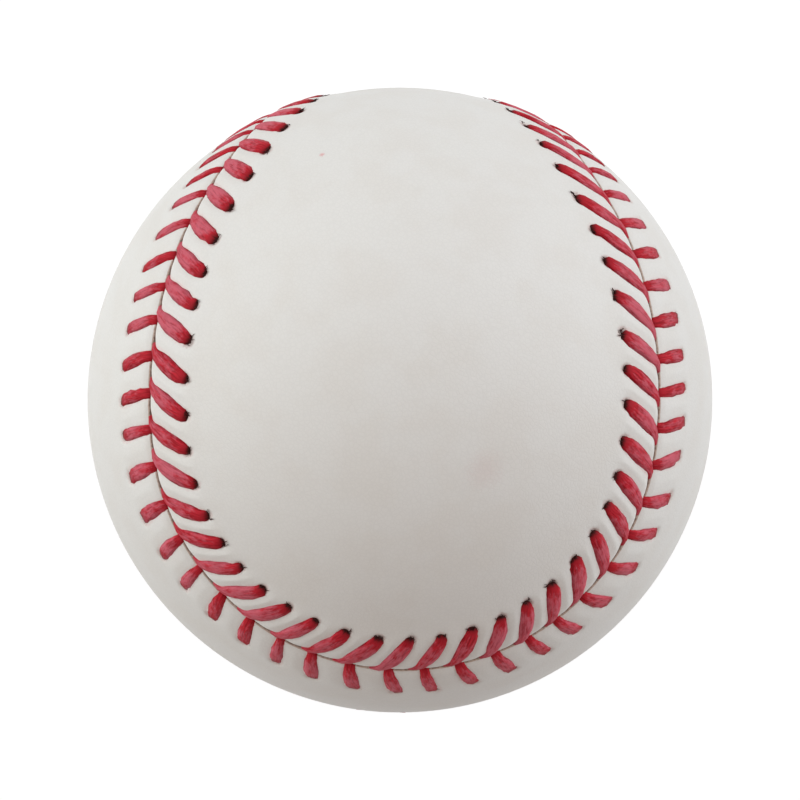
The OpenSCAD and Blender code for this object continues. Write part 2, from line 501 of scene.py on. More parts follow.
@dataclass(frozen=True)
class LegRoute:
    """The route of a stitch's leg from its hole to the seam, with the width of the thread."""

    # Distance back along the seam, distance from the seam, height and width at each point
    points: tuple[tuple[float, float, float, float], ...]
    # Shares of the route at which the thread is rubbed least and most, which set its bloom and
    # painted sheen
    rubbed: tuple[float, float]
    # Height below which the route is inside a hole or the seam, and doesn't dent the leather
    hidden: float = -0.3

    @cached_property
    def stations(self) -> np.ndarray:
        """The given points, a row for each."""
        return np.array(self.points)

    @property
    def most(self) -> list[float]:
        """Greatest distance back, distance across, height and width."""
        return self.stations.max(0).tolist()

    @cached_property
    def reach(self) -> np.ndarray:
        """Length of the route up to each station."""
        steps = np.linalg.norm(np.diff(self.stations[:, :3], axis=0), axis=1)
        return np.r_[0, np.cumsum(steps)]

    @cached_property
    def heading(self) -> np.ndarray:
        """Angle of the route from straight across to straight back, at each station."""
        step = np.gradient(self.stations[:, :2], axis=0)
        angle = np.arctan2(step[:, 0], -step[:, 1])
        # Where it goes straight down it keeps the heading of the stations beside it
        flat = np.linalg.norm(step, axis=1) > 0.03
        place = np.arange(len(angle))
        return np.clip(np.interp(place, place[flat], angle[flat]), 0, math.pi / 2)

    @cached_property
    def climb(self) -> np.ndarray:
        """Angle at which the route climbs, at each station."""
        step = np.gradient(self.stations[:, :3], axis=0)
        return np.arctan2(step[:, 2], np.linalg.norm(step[:, :2], axis=1))

    def tables(self) -> dict[str, np.ndarray]:
        """What the node tree reads at each station, as shares from 0 to 1."""
        most, height = self.stations.max(0), self.stations[:, 2]
        return {
            "back": self.stations[:, 0] / most[0],
            "over": self.stations[:, 1] / most[1],
            "lift": (height - height.min()) / (most[2] - height.min()),
            "wide": self.stations[:, 3] / most[3],
            "reach": self.reach / self.reach[-1],
            "head": self.heading / math.pi,
            "climb": self.climb / math.pi + 0.5,
        }

    def gap_to(self, back: np.ndarray, across: np.ndarray, pitch: float) -> np.ndarray:
        """Distance from places on the leather to the nearest leg's edge.

        Args:
            back: distance of each place ahead of a hole, along the seam.
            across: its distance from the seam.
            pitch: distance from one leg to the next.

        Returns:
            Distances, below 0 under a leg.
        """
        route = self.stations[self.stations[:, 2] > self.hidden]
        nearest = np.full(back.shape, np.inf)
        for turn in (-1, 0, 1):
            for a, b in zip(route, route[1:]):
                step = b[:2] - a[:2]
                far = np.stack([back + turn * pitch - a[0], across - a[1]], -1)
                share = np.clip(far @ step / max(step @ step, 1e-9), 0, 1)
                miss = np.linalg.norm(far - share[..., None] * step, axis=-1)
                nearest = np.minimum(nearest, miss - (a[3] + (b[3] - a[3]) * share) / 2)
        return nearest


# On the first panel the leg sweeps back from its hole and ends in a tail that lies in the seam
FIRST_LEG = LegRoute(
    (
        (-0.08, 5.88, -0.97, 0.9),
        (-0.08, 5.86, -0.4, 1.1),
        (-0.05, 5.72, -0.03, 1.4),
        (0.1, 5.35, 0.17, 1.62),
        (0.4, 4.75, 0.24, 1.82),
        (0.92, 3.8, 0.28, 1.94),
        (1.55, 2.7, 0.29, 1.94),
        (2.15, 1.72, 0.26, 1.8),
        (2.72, 0.88, 0.19, 1.52),
        (3.3, 0.3, 0.05, 1.06),
        (3.95, 0.02, -0.16, 0.66),
        (4.5, 0.0, -0.97, 0.4),
    ),
    rubbed=(0.12, 0.4),
)
# On the second panel it is shorter and nearly straight, and ends under the other one
SECOND_LEG = LegRoute(
    (
        (0.0, 5.66, -0.97, 0.95),
        (0.0, 5.64, -0.36, 1.25),
        (0.03, 5.45, -0.03, 1.48),
        (0.12, 5.0, 0.04, 1.66),
        (0.27, 4.3, 0.1, 1.66),
        (0.45, 3.35, 0.16, 1.58),
        (0.63, 2.4, 0.18, 1.48),
        (0.79, 1.55, 0.16, 1.4),
        (0.91, 0.8, 0.09, 1.34),
        (1.0, 0.22, -0.1, 1.26),
        (1.0, 0.0, -0.5, 1.15),
        (1.0, 0.0, -0.97, 1.05),
    ),
    rubbed=(0.9, 0.45),
)


@dataclass(frozen=True)
class Leather:
    """Alum-tanned full-grain cowhide.

    The alum leaves the skin chalk white right through and the drum leaves it smooth, so that the
    eye sees a soft even sheen, fine pores, faint clouds, and bare warm fibre on the cut edges.
    """

    pale: str = "#E4E3E0"
    cloudy: str = "#E2E0DC"
    seam_edge: str = "#BDA393"
    # Painted shade deep in the seam, where the two edges meet
    seam_depth: str = "#5A433B"
    dye: str = "#DDB4B0"
    # Painted shade of the holes, dark in them, and a brown rim round them that is partly soil
    burnt: str = "#3A1A15"
    hole_rim: str = "#8F6C60"
    cloud: float = 5.0
    # A real pore is about 0.15 mm across, drawn three times coarser so that it shows
    pore: float = 0.45
    # Specks of wear and flecks of torn fibre to each millimetre
    specks: float = 3.2
    flecks: float = 4.5
    # Share of flecks in a hole's rim, of specks in a worn edge and of pores in the relief
    rim_flecks: float = 0.9
    edge_specks: float = 0.5
    relief_pores: float = 0.6
    # How ragged a mark of use is, and where it starts and is full, in radii
    mark_flecks: float = 1.5
    mark_band: tuple[float, float] = (2.1, 0.9)
    roughness: float = 0.55
    relief: tuple[float, float] = (0.35, 0.03)
    # Marks of use: place on the ball, radius, colour and strength
    marks: tuple[tuple[tuple[float, float, float], float, str, float], ...] = (
        ((-9.36, 16.23, 32.11), 0.3, "#D98F8F", 0.7),
        ((7.82, -17.84, 31.66), 2.0, "#D2B4B0", 0.2),
    )

    def build(self) -> bpy.types.Material:
        """Builds the material."""
        g = Skin("alum_tanned_cowhide")
        clouds, speck, torn = (
            g.add(NOISE, {"Vector": g.place, "Scale": scale, "Detail": detail, "Roughness": rough})
            for scale, detail, rough in (
                (1 / self.cloud, 5.0, 0.5),
                (self.specks, 2.0, 0.5),
                (self.flecks, 3.0, 0.7),
            )
        )
        cells = {"Vector": g.place, "Scale": 1 / self.pore}
        pores = g.add(CELLS, cells, feature="DISTANCE_TO_EDGE")
        crease = g.add(RANGE, {"Value": pores, "From Max": 0.16})
        hole, edge, thread = (
            g.add(ATTRIBUTE, output=2, attribute_name=name) for name in DISTANCES
        )
        rows = [
            ("ragged", "MULTIPLY_ADD", torn, self.rim_flecks, hole),
            ("worn", "MULTIPLY_ADD", speck, self.edge_specks, edge),
            ("rubbed", "MULTIPLY_ADD", speck, self.edge_specks, thread),
            ("grain", "MULTIPLY_ADD", crease, self.relief_pores, speck),
        ]
        made = g.steps(MATH, rows)
        # Cloudiness, dye rubbed off the thread, the bare cut edge with painted shade deep in the
        # seam, and ragged rims round the holes with painted shade in them
        layers = [
            (clouds, 0.4, 0.65, 1.0, self.cloudy),
            (made["rubbed"], 0.42, 0.1, 0.3, self.dye),
            (made["worn"], 0.4, 0.1, 0.85, self.seam_edge),
            (made["worn"], 0.02, -0.18, 0.7, self.seam_depth),
            (made["ragged"], 1.2, 0.9, 0.4, self.hole_rim),
            (made["ragged"], 0.93, 0.76, 0.85, self.burnt),
        ]
        for centre, radius, tint, strength in self.marks:
            apart = g.add(VECTOR, {0: g.place, 1: centre}, output=1, operation="DISTANCE")
            terms = {0: torn, 1: radius * self.mark_flecks, 2: apart}
            blur = g.add(MATH, terms, operation="MULTIPLY_ADD")
            start, full = (radius * share for share in self.mark_band)
            layers.append((blur, start, full, strength, tint))
        colour = g.layered(self.pale, layers, interpolation_type="SMOOTHSTEP")
        # Painted shade: the colour is a little darker in the grain's creases
        shaded = g.add(RANGE, {"Value": crease, "To Min": 0.97, "To Max": 1.0})
        colour = g.add(VECTOR, {0: colour, "Scale": shaded}, operation="SCALE")
        low, high = self.roughness - 0.05, self.roughness + 0.07
        rough = g.add(RANGE, {"Value": speck, "To Min": low, "To Max": high})
        return g.finished(colour, rough, made["grain"], self.relief, {"IOR": 1.45})


@dataclass(frozen=True)
class WaxedThread:
    """Cotton thread, dyed red and drawn through wax.

    Laid flat, its fibres show as long streaks. The wax gives a dull shine, and where it is rubbed
    a pale bloom on top, partly painted sheen. Its ends in the holes are soiled and painted with
    shade.
    """

    deep: str = "#971320"
    bright: str = "#CB2837"
    bloom: str = "#D37080"
    shade: str = "#35100D"
    # Width of a streak: the real fibres are about 0.02 mm, drawn coarser so that they show
    fibre: float = 0.17
    # Streaks to each millimetre along the thread
    twist: float = 0.5
    # Patches of bloom to each millimetre across the thread and along it
    patches: tuple[float, float, float] = (2.2, 0.8, 1.0)
    # Distance in the pattern from the lightest thread to the darkest, so that no two are alike
    spread: float = 40.0
    # How streaky the soiled and painted-shade ends are, and how a leg's dive, tone and freshness
    # change the bloom and its painted sheen
    soil_streaks: float = 0.55
    bloom_shares: tuple[float, float, float] = (-1.1, 0.2, -0.26)
    roughness: float = 0.6
    relief: tuple[float, float] = (0.7, 0.07)

    def build(self) -> bpy.types.Material:
        """Builds the material."""
        g = Skin("waxed_cotton")
        lay = g.add(ATTRIBUTE, output=1, attribute_name="fibre")
        tone, dive, fresh = (
            g.add(ATTRIBUTE, output=2, attribute_name=name) for name in ("tone", "dive", "fresh")
        )
        shift = g.add(JOIN_XYZ, {"X": tone, "Z": tone})
        terms = {0: shift, 1: (self.spread,) * 3, 2: lay}
        moved = g.add(VECTOR, terms, operation="MULTIPLY_ADD")
        noises = (
            ((1 / self.fibre, self.twist, 1.0), 3.0, 0.6, 0.3),
            (self.patches, 5.0, 0.65, 0.0),
        )
        strands, patches = (
            g.add(
                NOISE,
                {
                    "Vector": g.add(MAPPING, {"Vector": moved, "Scale": scale}),
                    "Scale": 1.0,
                    "Detail": detail,
                    "Roughness": rough,
                    "Distortion": distortion,
                },
            )
            for scale, detail, rough, distortion in noises
        )
        by_dive, by_tone, by_fresh = self.bloom_shares
        rows = [
            # The ends are soiled and painted with the holes' shade, in streaks, where they enter
            # the leather
            ("soiled", "MULTIPLY_ADD", strands, self.soil_streaks, dive),
            # The bloom, partly a painted sheen, stays on top, where the thread is rubbed, and is
            # patchy
            ("rubbed", "MULTIPLY_ADD", dive, by_dive, patches),
            ("rubbed", "MULTIPLY_ADD", tone, by_tone, "rubbed"),
            # Where nothing rubs the thread it keeps its full red, without bloom or painted sheen
            ("rubbed", "MULTIPLY_ADD", fresh, by_fresh, "rubbed"),
        ]
        made = g.steps(MATH, rows)
        layers = [
            (strands, 0.36, 0.64, 1.0, self.bright),
            (made["rubbed"], 0.4, 0.68, 0.75, self.bloom),
            (strands, 0.46, 0.32, 0.5, self.deep),
            (made["soiled"], 0.35, 0.6, 1.0, self.shade),
        ]
        colour = g.layered(self.deep, layers)
        dull = {"Specular IOR Level": 0.1}
        return g.finished(colour, self.roughness, strands, self.relief, dull)


@dataclass(frozen=True)
class Fibre:
    """Spun yarn: a dull twisted strand, its twist and loose hairs showing as fine mottling."""

    name: str
    dark: str
    light: str
    twist: float
    roughness: float = 0.9
    sheen: float = 0.3
    relief: tuple[float, float] = (0.6, 0.2)

    def build(self) -> bpy.types.Material:
        """Builds the material."""
        g = Skin(self.name)
        mottle = {"Vector": g.place, "Scale": 1 / self.twist, "Detail": 4.0, "Distortion": 1.5}
        hairs = g.add(NOISE, mottle)
        colour = g.layered(self.dark, [(hairs, 0.35, 0.65, 1.0, self.light)])
        soft = {"Sheen Weight": self.sheen}
        return g.finished(colour, self.roughness, hairs, self.relief, soft)


@dataclass(frozen=True)
class Moulded:
    """Moulded rubber, or cork bound with rubber: a dull skin, speckled where it holds granules."""

    name: str
    body: str
    speck: str
    grain: float
    roughness: float = 0.7
    share: float = 0.25
    relief: tuple[float, float] = (0.3, 0.1)

    def build(self) -> bpy.types.Material:
        """Builds the material."""
        g = Skin(self.name)
        cells = g.add(CELLS, {"Vector": g.place, "Scale": 1 / self.grain}, output=1)
        value = g.add("ShaderNodeSeparateColor", {0: cells})
        mottle = g.add(NOISE, {"Vector": g.place, "Scale": 0.5 / self.grain, "Detail": 5.0})
        span = {"Value": value, "From Min": 1 - 2 * self.share, "From Max": 1.0, "To Max": 0.9}
        blend = g.add(MATH, {0: g.add(RANGE, span), 1: mottle}, operation="MULTIPLY")
        tints = {"A_Color": linear(self.body), "B_Color": linear(self.speck)}
        colour = g.add(MIX, {"Factor_Float": blend} | tints, output=2, data_type="RGBA")
        low, high = self.roughness - 0.1, self.roughness + 0.1
        rough = g.add(RANGE, {"Value": mottle, "To Min": low, "To Max": high})
        return g.finished(colour, rough, mottle, self.relief)


class Shell:
    """A closed shell under construction, as rings of points and the faces between them."""

    def __init__(self) -> None:
        """Starts without a point."""
        self.rings: list[np.ndarray] = []
        self.faces: list[list[int]] = []
        self.total = 0

    def ring(self, points: np.ndarray) -> int:
        """Adds points.

        Args:
            points: the points in millimetres, a row for each.

        Returns:
            The number of the first one.
        """
        self.rings.append(points)
        self.total += len(points)
        return self.total - len(points)

    def band(self, near: int, far: int, size: int) -> None:
        """Joins two rings of the same size.

        Args:
            near: first point of one ring.
            far: first point of the other.
            size: number of points in each.
        """
        step = np.arange(size)
        after = (step + 1) % size
        faces = np.stack([near + step, near + after, far + after, far + step], 1)
        self.faces += faces.tolist()

    def fans(self, fine: int, size: int, coarse: int, group: int) -> None:
        """Joins a fine ring to a coarse one with triangles.

        Args:
            fine: first point of the fine ring.
            size: number of points in it.
            coarse: first point of the coarse ring.
            group: how many of the fine ring's steps one coarse step spans.
        """
        half = group // 2
        for i in range(size // group):
            a, b = coarse + i, coarse + (i + 1) % (size // group)
            ring = [fine + (i * group + k) % size for k in range(group + 1)]
            self.faces += [[a, ring[k], ring[k + 1]] for k in range(half)]
            self.faces.append([a, ring[half], b])
            self.faces += [[b, ring[k], ring[k + 1]] for k in range(half, group)]


@dataclass
class CoverPanel:
    """A figure-eight panel of the cover, raised along the seam and puffed up between the legs."""

    which: Panel
    seam: SeamPath
    leg: LegRoute
    hole_at: float
    hole_inset: float = 5.5
    # Height of the leather over the thread, of the puffs between the legs, and depths of the dents
    rise: float = 0.19
    puff: float = 0.19
    press: float = 0.06
    roll: float = 0.2
    funnel: float = 0.14
    # Where each of them grows from nothing to full: from the seam, a leg, the edge and a hole
    rise_band: tuple[float, float] = (8.2, 4.2)
    puff_band: tuple[float, float] = (7.2, 3.8)
    puff_off_leg: tuple[float, float] = (0.0, 1.2)
    puff_off_edge: tuple[float, float] = (0.0, 1.3)
    press_band: tuple[float, float] = (0.3, -0.3)
    press_off_edge: tuple[float, float] = (-0.1, 0.3)
    roll_band: tuple[float, float] = (0.0, 0.9)
    funnel_band: tuple[float, float] = (0.8, 0.4)
    calm_band: tuple[float, float] = (1.2, 0.6)
    # Share of the puffs that is gone beside a hole
    calm: float = 0.8
    # Length and width of a hole's oval, as shares of a round one, and how far it has slipped out
    hole_oval: tuple[float, float] = (1.1, 0.95)
    hole_slip: float = 0.02
    # How much fainter the rim and painted shade round a hole are
    stain_gap: float = 0.0
    unevenness: float = 0.05
    # Distance from the seam to the leather's edge, and how much wider it is over a tail
    edge_gap: float = 0.09
    tail_gap: float = 0.2
    # Half of a tail's length, and how far its middle is before the leg's last point but one
    tail_l: float = 0.8
    tail_back: float = 0.5
    corner_r: float = 0.27
    corner_degrees: tuple[int, ...] = (0, 22, 45, 67, 90)
    # Shares of the edge's distance that the lip's two rows keep, and the upper's depth in radii
    lip: tuple[float, float] = (0.15, 0.2)
    lip_drop: float = 1.7
    # How much nearer to the edge the leather in the seam counts, so that it looks bare and takes
    # the painted shade deep in the seam
    bare_gap: float = 0.4
    # How deep the seam shows, and the leather's thickness
    under: float = 0.75
    leather_t: float = 1.2
    # Distances from the seam of the underside's first two rings
    glued: tuple[float, float] = (6.2, 6.6)
    # What a point beyond the rows counts as its distance from a hole, the edge or a leg
    far: float = 9.0
    # Columns of points to each stitch, and those of them that stand close together at its hole
    columns: int = 24
    hole_columns: int = 10
    hole_span: float = 0.75
    # Sizes of the triangles of the smooth field and of the glued underside
    field_step: float = 1.25
    under_step: float = 3.0
    # Points to each stitch on the first ring of both
    field_columns: int = 6
    under_columns: int = 2
    # In steps: distance of the field's ring from the rows, and of points from their ring
    ring_gap: float = 0.6
    spot_gap: float = 0.7
    # Area to each point of a field, in squares of its step
    spot_area: float = 0.87
    # Least distance from one row beyond the corner to the next
    row_step: float = 0.04
    seed: int = 7
    # Distance from the seam of each row of points
    reaches: tuple[float, ...] = (
        *(0.62, 0.85, 1.15, 1.5, 1.9, 2.35, 2.8, 3.25, 3.7, 4.1, 4.45, 4.75, 4.95, 5.12, 5.28),
        *(5.44, 5.6, 5.76, 5.92, 6.12, 6.45, 6.95, 7.7, 8.8),
    )

    @property
    def name(self) -> str:
        """Name of the CAD node that the panel stands for."""
        return f"leather_panel_{self.which.name.lower()}"

    @cached_property
    def ahead(self) -> np.ndarray:
        """Distance of each column ahead of its own stitch's hole."""
        span, others = self.hole_span, self.columns - self.hole_columns
        near = np.linspace(-span, span, self.hole_columns + 1)[:-1]
        between = np.linspace(span, self.seam.pitch - span, others + 1)[:-1]
        return np.tile(np.r_[near, between], self.seam.stitches)

    @cached_property
    def along(self) -> np.ndarray:
        """Distance of each column along the seam."""
        holes = self.hole_at + np.arange(self.seam.stitches) * self.seam.pitch
        return self.seam.sewn(self.ahead + np.repeat(holes, self.columns))

    @cached_property
    def edge(self) -> np.ndarray:
        """Distance from the seam to the leather's edge at each column, wider where a tail lies."""
        tail, pitch = self.leg.points[-2][0] - self.tail_back, self.seam.pitch
        near = np.minimum.reduce([np.abs(self.ahead + tail + turn * pitch) for turn in (-1, 0, 1)])
        return self.edge_gap + self.tail_gap * np.exp(-((near / self.tail_l) ** 2))

    @cached_property
    def section(self) -> tuple[np.ndarray, np.ndarray]:
        """Distance from the seam and height of the rows of points, from the buried lip out."""
        edge, corner, (low, high) = self.edge, self.corner_r, self.lip
        # The two edges lean together at the bottom of the seam
        rows = [(edge * low, -self.under), (edge * high, -corner * self.lip_drop)]
        for angle in np.radians(self.corner_degrees):
            rows.append((edge + corner * (1 - math.cos(angle)), -corner * (1 - math.sin(angle))))
        for number, reach in enumerate(self.reaches, 1):
            rows.append((np.maximum(reach, edge + corner + self.row_step * number), 0.0))
        across = np.array([row[0] for row in rows])
        return across, np.array([np.full(len(edge), row[1]) for row in rows])

    def shares(self) -> dict[str, np.ndarray]:
        """Works out how much each point of the rows rises, puffs up and is pressed in.

        Returns:
            The shares from 0 to 1 and the distances that the material reads, by attribute.
        """
        (across, height), pitch = self.section, self.seam.pitch
        ahead = np.tile(self.ahead, (len(across), 1))
        gap = self.leg.gap_to(-ahead, across, pitch)
        beyond = across - self.edge
        long, wide = self.hole_oval
        out = (across - self.hole_inset - self.hole_slip) / wide
        turns = (-1, 0, 1)
        hole = np.minimum.reduce([np.hypot((ahead + turn * pitch) / long, out) for turn in turns])
        puff = ease(*self.puff_off_leg, gap) * ease(*self.puff_off_edge, beyond)
        calmed = 1 - self.calm * ease(*self.calm_band, hole)
        return {
            "rise": ease(*self.rise_band, across),
            "puff": puff * ease(*self.puff_band, across) * calmed,
            "press": ease(*self.press_band, gap) * ease(*self.press_off_edge, beyond),
            "roll": 1 - ease(*self.roll_band, beyond),
            "funnel": ease(*self.funnel_band, hole),
            "hole_mm": hole + self.stain_gap,
            "edge_mm": beyond - (height < 0) * self.bare_gap,
            "thread_mm": gap,
        }

    def base(self) -> bpy.types.Mesh:
        """Builds the closed flat-glued shell of the panel, with the shares that shape it.

        Returns:
            The mesh, whose attributes say how much each point rises, puffs up and is pressed in.
        """
        seam, side, shell = self.seam, self.which.value, Shell()
        across, height = self.section
        rows, count = across.shape
        for row in range(rows):
            shell.ring(seam.points(self.along, side * across[row], height[row]))
            if row:
                shell.band((row - 1) * count, row * count, count)
        # The smooth field beyond the seam's rows
        last, group = self.reaches[-1], self.columns // self.field_columns
        reach, kept = last + self.field_step * self.ring_gap, self.along[::group]
        ring = shell.ring(seam.points(kept, side * reach, 0.0))
        shell.fans((rows - 1) * count, count, ring, group)
        self.close(shell, ring, len(kept), reach, 0.0, self.field_step)
        # The glued underside, with its room for the thread, which starts from the buried lip
        group, thick = self.columns // self.under_columns, self.leather_t
        kept = self.along[::group]
        rings = [
            shell.ring(seam.points(kept, side * reach, -depth))
            for depth, reach in zip((self.under, thick, thick), (*self.glued, last))
        ]
        shell.fans(0, count, rings[0], group)
        for near, beyond in zip(rings, rings[1:]):
            shell.band(near, beyond, len(kept))
        self.close(shell, rings[-1], len(kept), last, -thick, self.under_step)
        mesh = bpy.data.meshes.new(self.name + "_shell")
        mesh.from_pydata((np.vstack(shell.rings) * MM).tolist(), [], shell.faces)
        for name, value in self.shares().items():
            # Beyond the rows nothing is shaped, and every hole, edge and leg is far away
            full = np.full(shell.total, self.far if name in DISTANCES else 0.0, np.float32)
            full[: rows * count] = value.ravel()
            mesh.attributes.new(name, "FLOAT", "POINT").data.foreach_set("value", full)
        log.info("%s: %d columns, %d rows", self.name, count, rows)
        return mesh

    def close(
        self, shell: Shell, ring: int, size: int, reach: float, height: float, step: float
    ) -> None:
        """Closes a ring of points with a field of even triangles over the smooth ball.

        Args:
            shell: the shell under construction.
            ring: first point of the ring.
            size: number of points in it.
            reach: distance of the ring from the seam.
            height: height of the field over the smooth leather.
            step: rough size of the field's triangles.
        """
        seam, side = self.seam, self.which.value
        drawn = np.vstack(shell.rings)[ring : ring + size]
        drawn = drawn / np.linalg.norm(drawn, axis=1)[:, None]
        # Even places over the whole ball, on a spiral that turns by the golden angle each time
        spots = int(4 * math.pi * seam.ball_r**2 / (step**2 * self.spot_area))
        index = np.arange(spots) + 0.5
        lift = 1 - 2 * index / spots
        turn = index * math.pi * (3 - math.sqrt(5))
        flat = np.sqrt(1 - lift**2)
        scatter = np.stack([flat * np.cos(turn), lift, flat * np.sin(turn)], 1)
        scatter = scatter[seam.off(scatter) * side > reach + step * self.spot_gap]
        around = np.vstack([drawn, scatter])
        spread = around[:, [0, 2]] / (1 + side * around[:, 1])[:, None]
        edges = [(i, (i + 1) % size) for i in range(size)]
        _, _, triangles, origin, _, _ = delaunay_2d_cdt(spread.tolist(), edges, [], 1, 1e-7)
        if not all(origin):
            raise ValueError("the field's edge crosses itself")
        start = shell.ring(scatter * (seam.ball_r + height))
        ids = [*range(ring, ring + size), *range(start, shell.total)]
        shell.faces += [[ids[origin[v][0]] for v in triangle] for triangle in triangles]

    def tree(self, material: bpy.types.Material) -> ShapeTree:
        """Builds the tree that lifts the flat-glued shell over the thread and puffs it up.

        Args:
            material: the leather.

        Returns:
            The tree, whose inputs are the heights and depths.
        """
        heights = {
            "Rise": self.rise,
            "Puff": self.puff,
            "Press": -self.press,
            "Roll": -self.roll,
            "Funnel": -self.funnel,
        }
        others = {"Unevenness": self.unevenness, "Seed": self.seed, "Material": material}
        tree = ShapeTree(self.name + "_shape", heights | others)
        shares = {
            label.lower(): tree.add(READ, {"Name": label.lower()}, data_type="FLOAT")
            for label in heights
        }
        place = tree.add(PLACE)
        waves = {"Vector": place, "W": tree.given["Seed"], "Scale": 0.45 / MM, "Detail": 1.0}
        wavy = tree.add(NOISE, waves, noise_dimensions="4D")
        rows = [
            *(("height", "MULTIPLY_ADD", label.lower(), label, "height") for label in heights),
            ("uneven", "SUBTRACT", wavy, 0.5),
            ("uneven", "MULTIPLY", "uneven", "rise"),
            ("height", "MULTIPLY_ADD", "uneven", "Unevenness", "height"),
        ]
        height = tree.steps(MATH, rows, height=0.0, **shares)["height"]
        out = tree.add(VECTOR, {0: place}, operation="NORMALIZE")
        offset = tree.add(VECTOR, {0: out, "Scale": height}, operation="SCALE")
        tree.finish(tree.add(MOVE, {"Geometry": tree.given["Geometry"], "Offset": offset}))
        return tree

    def build(self, material: bpy.types.Material) -> bpy.types.Object:
        """Builds the panel.

        Args:
            material: the leather.

        Returns:
            The finished piece.
        """
        return self.tree(material).grown(self.name + "_hide", self.base(), DISTANCES)


